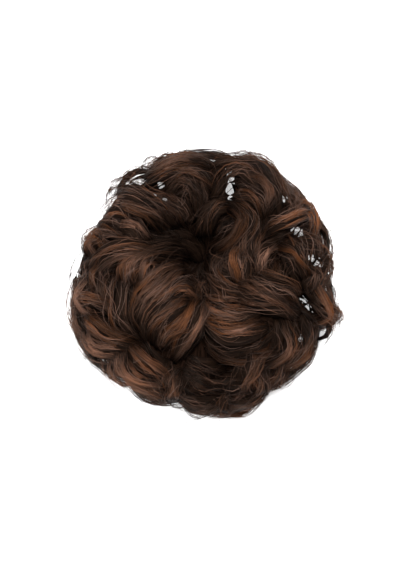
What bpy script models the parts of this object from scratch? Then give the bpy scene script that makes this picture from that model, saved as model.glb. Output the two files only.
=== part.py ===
"""Top knot hairpiece: a ring of long wavy locks sewn round an elastic band, laid out face up.

Metres, +Z up. It lies on the plane z = 0, with the middle of its outline over the origin.
Bearings are degrees anticlockwise from +X, seen from above. A reach is a share of SPREAD_RADIUS.
"""

import math

import bmesh
import bpy
from mathutils import Vector

# Elastic band, a flat braid sewn into a loop
BAND_RADIUS = 0.0255  # to the middle of the braid
BAND_WIDTH = 0.006
BAND_THICKNESS = 0.0026
BAND_ROUNDING = 0.0009

# Hair as it lies, fluffed out
SPREAD_RADIUS = 0.075
CROWN_RADIUS = 0.0385
CROWN_HEIGHT = 0.0475
WIDEST_HEIGHT = 0.020
PIT_HEIGHT = 0.027  # surface of the hair in the middle, where the locks meet
LOCK_WIDTH = 0.0100
LOCK_THICKNESS = 0.0064
LOCK_LIFT = 0.0036  # how far a lock with lift 1 stands over its neighbours
END_SINK = 0.0060  # how deep both ends of a lock dive into the hair

# Weft, the sewn roots that back the locks and hold the band
WEFT_COVER = 0.0036  # how far the backing lies under the locks' middle line
WEFT_REACH = 0.87  # share of the spread that the backing fills
WEFT_BASE = 0.0012  # height of its underside over the surface it lies on
BAND_CLEARANCE = 0.0003
HOLLOW_RADIUS = 0.0200  # room under the hair for the wearer's own knot
HOLLOW_HEIGHT = 0.0195
HOLLOW_ROUNDING = 0.004
WEFT_EDGE = 0.009  # how far the rim of the backing tucks in underneath
WEFT_RAISE = 0.0028  # how far the backing stands above the locks that fan out under it
HUB_WALL = 0.0026  # backing outside the seat of the band

# Steps of the faceted shapes
RING_STEPS = 40
LOCK_SIDES = 8
STATION_SPACING = 0.006
FUSE_STEP = 0.0016  # cell that the locks and the weft are melted together on
FACES_KEPT = 0.118  # share of the faces left after thinning

# Rim of the hair seen from above, every 20 degrees, as shares of SPREAD_RADIUS
RIM_REACH = (0.96, 0.98, 0.985, 0.98, 0.90, 0.90, 0.94, 0.895, 0.90,
             0.97, 1.00, 0.955, 0.93, 0.895, 0.915, 0.955, 0.925, 0.985)

# Dents in the hair: the dark valleys between the big locks
DENT_COLUMNS = ("bearing", "reach", "radius", "depth")
DENTS = (
    (134, 0.47, 0.110, 0.15),
    (112, 0.30, 0.120, 0.16),
    (78, 0.31, 0.120, 0.16),
    (62, 0.47, 0.080, 0.12),
    (38, 0.57, 0.070, 0.13),
    (18, 0.55, 0.070, 0.09),
    (205, 0.72, 0.060, 0.10),
    (190, 0.68, 0.060, 0.06),
    (268, 0.50, 0.100, 0.14),
    (288, 0.58, 0.090, 0.13),
    (318, 0.68, 0.070, 0.12),
    (222, 0.60, 0.060, 0.08),
)

# Locks that show from above. Four places that the lock passes, its width and its lift
LOCK_COLUMNS = ("b1", "r1", "b2", "r2", "b3", "r3", "b4", "r4", "width", "lift")
LOCKS = (
    # Upper right, round the swirl
    (73, 0.63, 54, 0.57, 48, 0.42, 70, 0.17, 1.00, 1.2),
    (90, 0.30, 86, 0.44, 80, 0.54, 68, 0.59, 1.20, 1.2),
    (64, 0.57, 68, 0.49, 74, 0.42, 82, 0.35, 0.90, -0.6),
    (83, 0.62, 76, 0.77, 68, 0.81, 55, 0.77, 0.70, 0.9),
    (72, 0.69, 62, 0.71, 53, 0.69, 44, 0.64, 0.95, 0.4),
    (86, 0.91, 76, 0.92, 66, 0.95, 57, 0.95, 0.80, -0.3),
    (62, 0.95, 53, 0.93, 46, 0.92, 40, 0.87, 0.80, -0.4),
    (80, 0.84, 66, 0.91, 54, 0.87, 40, 0.77, 1.20, 0.6),
    (72, 0.83, 61, 0.85, 52, 0.79, 46, 0.66, 1.00, 0.2),
    (48, 0.88, 42, 0.86, 37, 0.82, 33, 0.74, 0.90, 0.0),
    (41, 0.87, 36, 0.93, 29, 0.95, 22, 0.92, 0.95, 0.2),
    (32, 0.96, 33, 0.81, 36, 0.65, 39, 0.54, 0.50, 1.3),
    (25, 0.88, 21, 0.94, 17, 0.94, 13, 0.91, 0.90, -0.4),
    (26, 0.73, 22, 0.81, 16, 0.86, 9, 0.86, 0.90, 0.1),
    (28, 0.66, 20, 0.70, 12, 0.71, 0, 0.78, 0.90, 0.7),
    (28, 0.66, 29, 0.53, 22, 0.45, 5, 0.43, 0.80, 1.0),
    (54, 0.64, 46, 0.54, 35, 0.42, 12, 0.38, 1.00, 0.7),
    (44, 0.40, 32, 0.33, 16, 0.29, 350, 0.28, 1.30, 0.4),
    (18, 0.60, 11, 0.56, 5, 0.55, 356, 0.60, 0.90, -0.3),
    (12, 0.93, 7, 0.95, 3, 0.94, 0, 0.91, 0.80, -0.3),
    (9, 0.80, 4, 0.84, 359, 0.85, 354, 0.83, 0.80, 0.2),
    # Lower right, the long arcs
    (6, 0.30, 358, 0.45, 353, 0.58, 346, 0.75, 1.15, 0.9),
    (348, 0.20, 344, 0.38, 343, 0.57, 341, 0.78, 1.15, 0.9),
    (280, 0.13, 298, 0.21, 315, 0.29, 334, 0.38, 0.95, 0.5),
    (284, 0.20, 298, 0.29, 314, 0.37, 334, 0.46, 0.90, 0.7),
    (274, 0.24, 290, 0.41, 308, 0.49, 328, 0.58, 1.10, 1.1),
    (278, 0.38, 290, 0.51, 308, 0.59, 330, 0.66, 0.95, 0.1),
    (338, 0.66, 328, 0.73, 318, 0.77, 306, 0.77, 0.80, 0.9),
    (342, 0.78, 333, 0.88, 323, 0.90, 312, 0.88, 0.80, 0.4),
    (2, 0.83, 353, 0.90, 345, 0.93, 338, 0.90, 0.85, 0.3),
    (356, 0.92, 350, 0.97, 345, 0.975, 339, 0.92, 0.70, -0.2),
    (310, 0.62, 301, 0.69, 294, 0.77, 294, 0.90, 1.00, 0.7),
    (304, 0.74, 302, 0.82, 298, 0.88, 295, 0.93, 0.90, 0.2),
    (318, 0.86, 311, 0.90, 305, 0.91, 300, 0.90, 0.90, -0.2),
    (303, 0.92, 295, 0.94, 288, 0.945, 278, 0.92, 0.85, -0.1),
    (262, 0.70, 272, 0.73, 283, 0.75, 292, 0.80, 0.95, 0.1),
    (322, 0.72, 314, 0.69, 306, 0.66, 298, 0.64, 0.85, -0.3),
    (283, 0.84, 281, 0.88, 280, 0.92, 278, 0.94, 0.80, 0.3),
    # Lower left, the fan and the diagonal locks
    (165, 0.12, 186, 0.28, 198, 0.44, 214, 0.57, 1.15, 0.9),
    (205, 0.12, 207, 0.30, 214, 0.46, 228, 0.60, 1.15, 1.1),
    (240, 0.17, 230, 0.27, 227, 0.40, 233, 0.57, 1.00, 0.9),
    (252, 0.28, 242, 0.35, 236, 0.45, 236, 0.58, 0.90, 0.5),
    (266, 0.10, 260, 0.26, 254, 0.40, 250, 0.62, 0.85, 1.0),
    (172, 0.55, 190, 0.58, 207, 0.62, 226, 0.63, 0.85, 0.5),
    (174, 0.73, 185, 0.73, 194, 0.70, 204, 0.66, 0.80, 0.1),
    (176, 0.83, 184, 0.86, 190, 0.85, 197, 0.81, 0.85, 0.4),
    (187, 0.93, 188, 0.84, 191, 0.73, 198, 0.63, 0.75, 1.0),
    (174, 0.92, 188, 0.945, 200, 0.94, 213, 0.91, 0.85, 0.0),
    (199, 0.91, 204, 0.82, 213, 0.74, 228, 0.66, 1.30, 1.0),
    (201, 0.90, 207, 0.91, 214, 0.88, 223, 0.79, 0.75, 0.7),
    (219, 0.77, 228, 0.85, 240, 0.865, 252, 0.85, 0.90, 0.5),
    (220, 0.73, 232, 0.70, 243, 0.72, 253, 0.81, 1.00, 0.8),
    (217, 0.90, 224, 0.93, 230, 0.925, 237, 0.89, 0.90, -0.3),
    (234, 0.89, 243, 0.915, 251, 0.92, 260, 0.91, 0.90, -0.2),
    (256, 0.66, 255, 0.75, 255, 0.83, 258, 0.90, 0.80, 0.6),
    (247, 0.62, 247, 0.70, 250, 0.77, 256, 0.83, 0.85, 0.0),
    (261, 0.92, 267, 0.94, 273, 0.94, 280, 0.93, 0.90, -0.2),
    (257, 0.86, 264, 0.86, 271, 0.85, 279, 0.87, 0.85, 0.1),
    (258, 0.62, 266, 0.64, 276, 0.65, 286, 0.66, 0.85, -0.5),
    # Upper left, the crown sweeps
    (114, 0.91, 105, 0.92, 96, 0.93, 84, 0.92, 0.80, -0.1),
    (120, 0.90, 108, 0.87, 98, 0.87, 86, 0.89, 0.80, 0.5),
    (122, 0.84, 112, 0.80, 101, 0.82, 87, 0.87, 0.85, 0.7),
    (108, 0.76, 99, 0.78, 90, 0.76, 82, 0.69, 0.85, 0.5),
    (113, 0.70, 102, 0.73, 94, 0.66, 93, 0.46, 0.90, 0.6),
    (118, 0.67, 109, 0.61, 103, 0.53, 99, 0.42, 0.90, 0.1),
    (142, 0.86, 132, 0.82, 124, 0.62, 120, 0.40, 1.25, 1.2),
    (131, 0.94, 125, 0.82, 117, 0.62, 110, 0.42, 1.15, 0.7),
    (150, 0.87, 142, 0.83, 137, 0.74, 137, 0.60, 0.95, 0.9),
    (154, 0.90, 150, 0.82, 149, 0.74, 148, 0.62, 1.25, 0.5),
    (148, 0.72, 144, 0.63, 145, 0.55, 148, 0.46, 1.10, 0.6),
    (140, 0.52, 132, 0.46, 124, 0.38, 122, 0.28, 1.00, -0.3),
    (167, 0.88, 161, 0.89, 157.5, 0.85, 161, 0.73, 0.95, 0.5),
    (173, 0.85, 163, 0.70, 151, 0.54, 135, 0.28, 1.00, 1.3),
    (182, 0.93, 176, 0.92, 171, 0.90, 165, 0.87, 0.60, 0.2),
    (164, 0.68, 171, 0.76, 178, 0.77, 187, 0.75, 0.85, 0.2),
    (155, 0.44, 163, 0.51, 172, 0.545, 184, 0.55, 0.90, 0.6),
    (148, 0.38, 160, 0.43, 170, 0.44, 186, 0.43, 1.00, 0.8),
    (148, 0.15, 158, 0.27, 170, 0.34, 188, 0.36, 1.00, 0.8),
    (136, 0.89, 130, 0.90, 124, 0.90, 117, 0.89, 0.70, -0.2),
)

# Locks that fill the side and the edge underneath, in rings. Each passes four heights, then turns in
RING_COLUMNS = ("count", "sweep", "stagger", "width", "lift")
RINGS = {
    "side": (26, 40, 3, 0.95, 1.0),
    "crossing": (9, -56, 9, 0.90, 1.9),
    "under": (24, -34, 4, 0.95, 0.2),
}
COURSE_COLUMNS = ("share", "reach", "height")
COURSES = {
    "side": ((0.0, 0.76, 0.09), (0.3, 0.92, 0.17), (0.65, 0.95, 0.45), (1.0, 0.86, 0.72)),
    "crossing": ((0.0, 0.88, 0.12), (0.4, 0.93, 0.30), (0.7, 0.93, 0.50), (1.0, 0.88, 0.72)),
    "under": ((0.0, 0.40, 0.08), (0.4, 0.60, 0.07), (0.7, 0.78, 0.08), (1.0, 0.90, 0.18)),
}


def clear_scene():
    """Remove whatever the file held."""
    for obj in list(bpy.data.objects):
        bpy.data.objects.remove(obj, do_unlink=True)


def add_collection(name):
    """A new collection in the scene."""
    collection = bpy.data.collections.new(name)
    bpy.context.scene.collection.children.link(collection)
    return collection


def add_material(name, color, roughness):
    """A Principled material of one colour."""
    material = bpy.data.materials.new(name)
    material.use_nodes = True
    shader = material.node_tree.nodes["Principled BSDF"]
    shader.inputs["Base Color"].default_value = (*color, 1.0)
    shader.inputs["Roughness"].default_value = roughness
    shader.inputs["Metallic"].default_value = 0.0
    return material


def add_object(name, mesh, collection):
    """An object that holds a mesh."""
    obj = bpy.data.objects.new(name, mesh)
    collection.objects.link(obj)
    return obj


def turned(name, profile, steps, collection):
    """The solid that a profile of (radius, height) points turns out round the Z axis."""
    mesh = bpy.data.meshes.new(name)
    edges = [(i, i + 1) for i in range(len(profile) - 1)]
    mesh.from_pydata([(radius, 0, height) for radius, height in profile], edges, [])
    obj = add_object(name, mesh, collection)
    screw = obj.modifiers.new("turn", "SCREW")
    screw.steps = screw.render_steps = steps
    screw.use_merge_vertices = True
    screw.merge_threshold = 0.00005
    return obj


def baked(obj):
    """A mesh of what an object and its modifiers make."""
    graph = bpy.context.evaluated_depsgraph_get()
    return bpy.data.meshes.new_from_object(obj.evaluated_get(graph))


def at_bearing(bearing, radius, height=0.0):
    """The point at a bearing in degrees and a radius."""
    angle = math.radians(bearing)
    return Vector((radius * math.cos(angle), radius * math.sin(angle), height))


def dent_depth(place):
    """How far the hair is pressed in at a place seen from above."""
    depth = 0.0
    for row in DENTS:
        dent = dict(zip(DENT_COLUMNS, row))
        middle = at_bearing(dent["bearing"], dent["reach"] * SPREAD_RADIUS)
        away = (Vector((place.x, place.y, 0)) - middle).length / (dent["radius"] * SPREAD_RADIUS)
        depth += dent["depth"] * CROWN_HEIGHT * math.exp(-away * away / 2)
    return depth


def rim_reach(bearing):
    """Share of SPREAD_RADIUS that the rim of the hair reaches at a bearing."""
    step = 360 / len(RIM_REACH)
    place = (bearing % 360) / step
    before = int(place) % len(RIM_REACH)
    after = (before + 1) % len(RIM_REACH)
    share = (1 - math.cos(math.pi * (place - int(place)))) / 2
    return RIM_REACH[before] * (1 - share) + RIM_REACH[after] * share


def smooth_height(radius):
    """Height of the undented hair over a radius: a rounded ring with a pit in the middle."""
    if radius < CROWN_RADIUS:
        share = 1 - radius / CROWN_RADIUS
        base = PIT_HEIGHT
    else:
        share = (radius - CROWN_RADIUS) / (SPREAD_RADIUS - CROWN_RADIUS)
        base = WIDEST_HEIGHT
    return base + (CROWN_HEIGHT - base) * math.sqrt(max(0.0, 1 - share * share))


def hair_height(place):
    """Height of the locks' middle line at a place seen from above."""
    radius = math.hypot(place.x, place.y)
    return smooth_height(radius) - dent_depth(place)


def outward(point):
    """The direction out of the hair at a point, away from the heart of the ring."""
    radius = math.hypot(point.x, point.y)
    bearing = math.degrees(math.atan2(point.y, point.x)) if radius > 0 else 0.0
    heart = at_bearing(bearing, CROWN_RADIUS, WIDEST_HEIGHT)
    return (point - heart).normalized()


def smooth_course(places, count):
    """Points along a smooth curve through four or more places."""
    ends = [2 * places[0] - places[1], *places, 2 * places[-1] - places[-2]]
    spans = len(places) - 1
    course = []
    for step in range(count):
        along = spans * step / (count - 1)
        span = min(int(along), spans - 1)
        t = along - span
        a, b, c, d = ends[span : span + 4]
        point = b * 2 + (c - a) * t + (2 * a - 5 * b + 4 * c - d) * t**2 + (3 * b - a - 3 * c + d) * t**3
        course.append(point / 2)
    return course


def stations_for(places):
    """How many sections a lock through these places needs."""
    length = sum((b - a).length for a, b in zip(places, places[1:]))
    return max(5, round(length / STATION_SPACING) + 1)


def fullness(t):
    """Share of its full width that a lock has at a share of its length."""
    return 0.42 + 0.58 * math.sin(math.pi * min(1.0, 0.10 + 0.86 * t)) ** 0.7


def add_lock(bm, course, width, lift):
    """A closed flattened tube along a course, wide in the middle, with both ends diving in."""
    rings = []
    last = len(course) - 1
    for i, point in enumerate(course):
        t = i / last
        out = outward(point)
        arch = math.sin(math.pi * t) ** 0.6 if 0 < i < last else 0.0
        middle = point + out * (arch * lift * LOCK_LIFT - (1 - arch) * END_SINK)
        tangent = (course[min(i + 1, last)] - course[max(i - 1, 0)]).normalized()
        side = tangent.cross(out).normalized()
        face = side.cross(tangent)
        half_width = side * (width * LOCK_WIDTH * fullness(t) / 2)
        half_depth = face * (LOCK_THICKNESS * fullness(t) / 2)
        ring = []
        for k in range(LOCK_SIDES):
            angle = math.tau * k / LOCK_SIDES
            ring.append(middle + half_width * math.cos(angle) + half_depth * math.sin(angle))
        rise = max(0.0, WEFT_BASE - min(corner.z for corner in ring))
        rings.append([bm.verts.new(corner + Vector((0, 0, rise))) for corner in ring])
    for ring, after in zip(rings, rings[1:]):
        for k in range(LOCK_SIDES):
            m = (k + 1) % LOCK_SIDES
            bm.faces.new((ring[k], after[k], after[m], ring[m]))
    bm.faces.new(rings[0])
    bm.faces.new(reversed(rings[-1]))


def top_course(lock):
    """The course over the top of the hair of one row of LOCKS."""
    places = []
    for n in "1234":
        places.append(at_bearing(lock["b" + n], lock["r" + n] * SPREAD_RADIUS))
    course = smooth_course(places, stations_for(places))
    return [Vector((p.x, p.y, hair_height(p))) for p in course]


def ring_course(name, number):
    """The course of one lock of a ring, whose starts and sweeps waver so that no two are alike."""
    ring = dict(zip(RING_COLUMNS, RINGS[name]))
    start = 360 * number / ring["count"] + ring["stagger"] * math.sin(2.4 * number)
    sweep = ring["sweep"] * (1 + 0.3 * math.cos(3.9 * number))
    rise = 1 + 0.12 * math.sin(5.1 * number)
    places = []
    for row in COURSES[name]:
        at = dict(zip(COURSE_COLUMNS, row))
        bearing = start + sweep * at["share"]
        reach = at["reach"] * rim_reach(bearing)
        height = at["height"] * rise * CROWN_HEIGHT
        places.append(at_bearing(bearing, reach * SPREAD_RADIUS, height))
    return smooth_course(places, stations_for(places))


def add_locks(bm):
    """Every lock as its own closed tube."""
    for row in LOCKS:
        lock = dict(zip(LOCK_COLUMNS, row))
        add_lock(bm, top_course(lock), lock["width"], lock["lift"])
    for name, row in RINGS.items():
        ring = dict(zip(RING_COLUMNS, row))
        for number in range(ring["count"]):
            add_lock(bm, ring_course(name, number), ring["width"], ring["lift"])


def weft_profile():
    """Half section of the backing, from the top of its middle round to its underside."""
    rim = WEFT_REACH * SPREAD_RADIUS
    profile = []
    for share in (0.0, 0.1, 0.2, 0.32, 0.46, 0.6, 0.72, 0.84, 0.93):
        radius = share * rim
        profile.append((radius, smooth_height(radius) - WEFT_COVER))
    profile.append((rim, WIDEST_HEIGHT))
    profile.append((rim - WEFT_EDGE / 2, WEFT_BASE + WEFT_EDGE / 2))
    profile.append((rim - WEFT_EDGE, WEFT_BASE + WEFT_RAISE))
    hub = BAND_RADIUS + BAND_WIDTH / 2 + BAND_CLEARANCE + HUB_WALL
    profile.append((hub + WEFT_RAISE, WEFT_BASE + WEFT_RAISE))
    profile.append((hub, WEFT_BASE))
    profile.append((0.0, WEFT_BASE))
    return profile


def hollow_profile():
    """Half section of what is cut out: the seat of the band and the room for the wearer's knot."""
    seat_inner = BAND_RADIUS - BAND_WIDTH / 2 - BAND_CLEARANCE
    seat_outer = BAND_RADIUS + BAND_WIDTH / 2 + BAND_CLEARANCE
    seat_top = BAND_THICKNESS + BAND_CLEARANCE
    below = -BAND_THICKNESS
    return (
        (0.0, HOLLOW_HEIGHT),
        (HOLLOW_RADIUS - HOLLOW_ROUNDING, HOLLOW_HEIGHT),
        (HOLLOW_RADIUS, HOLLOW_HEIGHT - HOLLOW_ROUNDING),
        (HOLLOW_RADIUS, seat_top + (seat_inner - HOLLOW_RADIUS)),
        (seat_inner, seat_top),
        (seat_outer, seat_top),
        (seat_outer, below),
        (0.0, below),
    )


def add_hair(collection, cutters):
    """The locks, fused to the weft that they are sewn to, and hollow underneath."""
    weft = turned("weft", weft_profile(), RING_STEPS, cutters)
    hair = add_object("hair_locks", baked(weft), collection)
    bpy.data.objects.remove(weft, do_unlink=True)
    for vertex in hair.data.vertices:
        if vertex.co.z > WIDEST_HEIGHT:
            vertex.co.z -= dent_depth(vertex.co)
    bm = bmesh.new()
    bm.from_mesh(hair.data)
    add_locks(bm)
    bm.to_mesh(hair.data)
    bm.free()
    fuse = hair.modifiers.new("fuse", "REMESH")
    fuse.mode = "VOXEL"
    fuse.voxel_size = FUSE_STEP
    thin = hair.modifiers.new("thin", "DECIMATE")
    thin.ratio = FACES_KEPT
    hollow = turned("hollow_cutter", hollow_profile(), RING_STEPS, cutters)
    hollow.hide_render = True
    hollow.display_type = "WIRE"
    cut = hair.modifiers.new("cut", "BOOLEAN")
    cut.operation = "DIFFERENCE"
    cut.object = hollow
    cut.solver = "EXACT"
    hair.data.materials.append(add_material("dark_brown_hair", (0.045, 0.022, 0.014), 0.45))


def add_band(collection):
    """The elastic band, a flat ring with rounded edges."""
    inner = BAND_RADIUS - BAND_WIDTH / 2
    outer = BAND_RADIUS + BAND_WIDTH / 2
    profile = (
        (outer - BAND_ROUNDING, BAND_THICKNESS),
        (outer, BAND_THICKNESS - BAND_ROUNDING),
        (outer, BAND_ROUNDING),
        (outer - BAND_ROUNDING, 0.0),
        (inner + BAND_ROUNDING, 0.0),
        (inner, BAND_ROUNDING),
        (inner, BAND_THICKNESS - BAND_ROUNDING),
        (inner + BAND_ROUNDING, BAND_THICKNESS),
        (outer - BAND_ROUNDING, BAND_THICKNESS),
    )
    band = turned("elastic_band", profile, RING_STEPS, collection)
    band.data.materials.append(add_material("black_elastic", (0.012, 0.011, 0.011), 0.7))


clear_scene()
hairpiece = add_collection("top_knot_hairpiece")
cutting = add_collection("cutters")
add_hair(hairpiece, cutting)
add_band(hairpiece)
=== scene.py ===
"""Dresses the top knot hairpiece: locks of single strands over a sewn backing, on an elastic band.

Metres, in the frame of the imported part: +Z up, the hairpiece face up on z = 0. Bearings are degrees
anticlockwise from +X seen from above, and a reach is a share of the spread of the hair.
"""

import math
import random

import bmesh
import bpy
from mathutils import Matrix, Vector


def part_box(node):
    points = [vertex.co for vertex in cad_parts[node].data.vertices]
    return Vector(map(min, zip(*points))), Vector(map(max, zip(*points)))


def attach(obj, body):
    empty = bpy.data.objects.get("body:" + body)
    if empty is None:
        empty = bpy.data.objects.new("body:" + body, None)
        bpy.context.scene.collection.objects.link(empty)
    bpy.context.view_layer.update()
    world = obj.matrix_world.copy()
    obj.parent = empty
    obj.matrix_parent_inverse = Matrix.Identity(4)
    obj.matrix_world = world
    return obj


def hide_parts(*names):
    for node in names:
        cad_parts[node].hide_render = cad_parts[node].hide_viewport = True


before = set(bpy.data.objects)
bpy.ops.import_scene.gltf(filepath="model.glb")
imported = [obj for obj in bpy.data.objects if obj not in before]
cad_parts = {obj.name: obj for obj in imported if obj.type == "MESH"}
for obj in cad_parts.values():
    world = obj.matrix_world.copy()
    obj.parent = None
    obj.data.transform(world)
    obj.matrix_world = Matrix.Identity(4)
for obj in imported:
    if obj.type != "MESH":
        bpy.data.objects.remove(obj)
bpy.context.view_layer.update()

# The backing. A round pad of dark weft, the sewn roots of the hair. It is closed over the top, and
# hollow underneath, where the wearer's own knot goes. The elastic lies in a groove in its underside.
hair_low, hair_high = (Vector(corner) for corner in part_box("hair_locks"))
band_high = Vector(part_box("elastic_band")[1])
SPREAD = (hair_high.x - hair_low.x) / 2
CROWN_RADIUS = 0.51 * SPREAD
CROWN_HEIGHT = 0.883 * hair_high.z
WIDEST_HEIGHT = 0.42 * CROWN_HEIGHT
PIT_HEIGHT = 0.57 * CROWN_HEIGHT
BACKING_COVER = 0.0062
BACKING_REACH = 0.84
BACKING_BASE = hair_low.z + 0.0030
BAND_INNER = 0.0225
BAND_OUTER = band_high.x
BAND_GAP = 0.0003
GROOVE_TOP = band_high.z + BAND_GAP
GROOVE_LIP = 0.0025
HOLLOW_RADIUS = 0.0195
HOLLOW_HEIGHT = 0.0195
HOLLOW_ROUND = 0.007
HOLLOW_DROP = 0.005
HOLLOW_CORNER = (0.002, 0.0015)
RIM_ROUND = 0.009
BACKING_STEPS = 96
TOP_RINGS = 15
DENT_START = WIDEST_HEIGHT + 0.002
NODE_STEP = 190
STREAKS_ROUND = 55.0
STREAKS_ALONG = 110.0

DENT_COLUMNS = ("bearing", "reach", "radius", "depth")
DENTS = (
    (134, 0.47, 0.110, 0.15),
    (112, 0.30, 0.120, 0.16),
    (78, 0.31, 0.120, 0.16),
    (62, 0.47, 0.080, 0.12),
    (38, 0.57, 0.070, 0.13),
    (18, 0.55, 0.070, 0.09),
    (205, 0.72, 0.060, 0.10),
    (190, 0.68, 0.060, 0.06),
    (268, 0.50, 0.100, 0.14),
    (290, 0.61, 0.100, 0.17),
    (318, 0.68, 0.070, 0.12),
    (222, 0.60, 0.060, 0.08),
    (92, 0.15, 0.105, 0.21),
    (128, 0.38, 0.080, 0.06),
    (281, 0.74, 0.080, 0.12),
    (245, 0.68, 0.060, 0.07),
)


def named_rows(columns, table):
    """The rows of a table, each as a dictionary with the names of its columns."""
    return [dict(zip(columns, row)) for row in table]


def at_bearing(bearing, radius, height=0.0):
    """The point at a bearing in degrees and a radius."""
    angle = math.radians(bearing)
    return Vector((radius * math.cos(angle), radius * math.sin(angle), height))


def smooth_height(radius):
    """Height of the undented hair over a radius: a rounded ring with a pit in the middle."""
    if radius < CROWN_RADIUS:
        share = 1 - radius / CROWN_RADIUS
        base = PIT_HEIGHT
    else:
        share = (radius - CROWN_RADIUS) / (SPREAD - CROWN_RADIUS)
        base = WIDEST_HEIGHT
    return base + (CROWN_HEIGHT - base) * math.sqrt(max(0.0, 1 - share * share))


def dent_depth(place):
    """How far the hair is pressed in at a place seen from above."""
    depth = 0.0
    for dent in named_rows(DENT_COLUMNS, DENTS):
        middle = at_bearing(dent["bearing"], dent["reach"] * SPREAD)
        away = (Vector((place.x, place.y, 0)) - middle).length / (dent["radius"] * SPREAD)
        depth += dent["depth"] * CROWN_HEIGHT * math.exp(-away * away / 2)
    return depth


def backing_profile():
    """Section of the pad, from the middle of its top over the rim to the roof of the hollow."""
    rim = BACKING_REACH * SPREAD
    section = []
    for step in range(TOP_RINGS):
        radius = rim * math.sin(math.pi / 2 * step / TOP_RINGS)
        section.append((radius, smooth_height(radius) - BACKING_COVER))
    section += [
        (rim, WIDEST_HEIGHT),
        (rim - RIM_ROUND / 3, BACKING_BASE + RIM_ROUND * 2 / 3),
        (rim - RIM_ROUND, BACKING_BASE),
        (BAND_OUTER + 2 * GROOVE_LIP, BACKING_BASE),
        (BAND_OUTER + GROOVE_LIP, hair_low.z),
        (BAND_OUTER + BAND_GAP, hair_low.z),
        (BAND_OUTER + BAND_GAP, GROOVE_TOP),
        (BAND_INNER - BAND_GAP, GROOVE_TOP),
        (HOLLOW_RADIUS, GROOVE_TOP + HOLLOW_CORNER[0]),
        (HOLLOW_RADIUS, HOLLOW_HEIGHT - HOLLOW_DROP),
        (HOLLOW_RADIUS - HOLLOW_CORNER[0], HOLLOW_HEIGHT - HOLLOW_CORNER[1]),
        (HOLLOW_RADIUS - HOLLOW_ROUND, HOLLOW_HEIGHT),
    ]
    return section


def turned_ring(bm, radius, height, steps):
    """A level ring of vertices round the upright line through the middle."""
    return [bm.verts.new(at_bearing(360 * k / steps, radius, height)) for k in range(steps)]


def finished_mesh(name, bm):
    """The mesh that a bmesh holds."""
    mesh = bpy.data.meshes.new(name)
    bm.to_mesh(mesh)
    bm.free()
    return mesh


def turned_mesh(name, section, steps):
    """A closed mesh turned from a section of (radius, height) points, whose first and last close up."""
    bm = bmesh.new()
    top = bm.verts.new((0, 0, section[0][1]))
    end = bm.verts.new((0, 0, section[-1][1]))
    rings = []
    for radius, height in section[1:]:
        rings.append(turned_ring(bm, radius, height, steps))
    for k in range(steps):
        m = (k + 1) % steps
        bm.faces.new((top, rings[0][k], rings[0][m]))
        bm.faces.new((end, rings[-1][m], rings[-1][k]))
        for ring, after in zip(rings, rings[1:]):
            bm.faces.new((ring[k], after[k], after[m], ring[m]))
    bmesh.ops.recalc_face_normals(bm, faces=bm.faces)
    return finished_mesh(name, bm)


def show(name, data):
    """An object at the origin that holds a mesh, a light or a camera."""
    obj = bpy.data.objects.new(name, data)
    bpy.context.scene.collection.objects.link(obj)
    return obj


class Nodes:
    """Writes the nodes of one tree from left to right."""

    def __init__(self, tree):
        self.tree = tree
        self.column = 0

    def add(self, kind, inputs=(), **settings):
        """A node with some settings, whose inputs are values or other sockets."""
        node = self.tree.nodes.new(kind)
        node.location = (self.column * NODE_STEP, 0)
        self.column += 1
        for key, value in settings.items():
            setattr(node, key, value)
        for key, value in dict(inputs).items():
            if isinstance(value, bpy.types.NodeSocket):
                self.tree.links.new(value, node.inputs[key])
            else:
                node.inputs[key].default_value = value
        return node

    def math(self, operation, *values):
        """A number worked out from others."""
        return self.add("ShaderNodeMath", enumerate(values), operation=operation).outputs[0]

    def vector(self, operation, *values):
        """A vector worked out from others."""
        return self.add("ShaderNodeVectorMath", enumerate(values), operation=operation).outputs[0]

    def scaled(self, vector, factor):
        """A vector times a number."""
        inputs = {0: vector, "Scale": factor}
        return self.add("ShaderNodeVectorMath", inputs, operation="SCALE").outputs[0]


def new_material(name, roughness, specular):
    """A Principled material, with the writer of its nodes and its shader."""
    material = bpy.data.materials.new(name)
    material.use_nodes = True
    shader = material.node_tree.nodes["Principled BSDF"]
    shader.inputs["Roughness"].default_value = roughness
    shader.inputs["Specular IOR Level"].default_value = specular
    return material, Nodes(material.node_tree), shader


def streaked(f, shader, noise_inputs, dark, light, relief):
    """Colours a shader by a noise, from a dark to a light (position, colour), and raises the light."""
    noise = f.add("ShaderNodeTexNoise", noise_inputs).outputs["Fac"]
    ramp = f.add("ShaderNodeValToRGB", {"Fac": noise})
    for element, (position, colour) in zip(ramp.color_ramp.elements, (dark, light)):
        element.position = position
        element.color = (*colour, 1)
    bump = f.add("ShaderNodeBump", {"Height": noise, "Distance": relief})
    f.tree.links.new(ramp.outputs["Color"], shader.inputs["Base Color"])
    f.tree.links.new(bump.outputs["Normal"], shader.inputs["Normal"])


def weft_painted_shade_material():
    """Roots of the dark hair, combed flat in fine streaks that run out from the middle of the pad,
    coloured near black as painted shade.
    """
    material, f, shader = new_material("weft", 0.8, 0.0)
    place = f.add("ShaderNodeTexCoord").outputs["Object"]
    around = f.scaled(f.vector("NORMALIZE", f.vector("MULTIPLY", place, (1, 1, 0))), STREAKS_ROUND)
    streaks = f.vector("MULTIPLY_ADD", place, (STREAKS_ALONG, STREAKS_ALONG, STREAKS_ALONG), around)
    dark = (0.35, (0.0016, 0.0009, 0.0006))
    light = (0.72, (0.0125, 0.0064, 0.0042))
    streaked(f, shader, {"Vector": streaks, "Scale": 1.0, "Detail": 3}, dark, light, 0.0006)
    return material


backing = show("backing", turned_mesh("backing", backing_profile(), BACKING_STEPS))
for vertex in backing.data.vertices:
    if vertex.co.z > DENT_START:
        vertex.co.z -= dent_depth(vertex.co)

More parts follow.
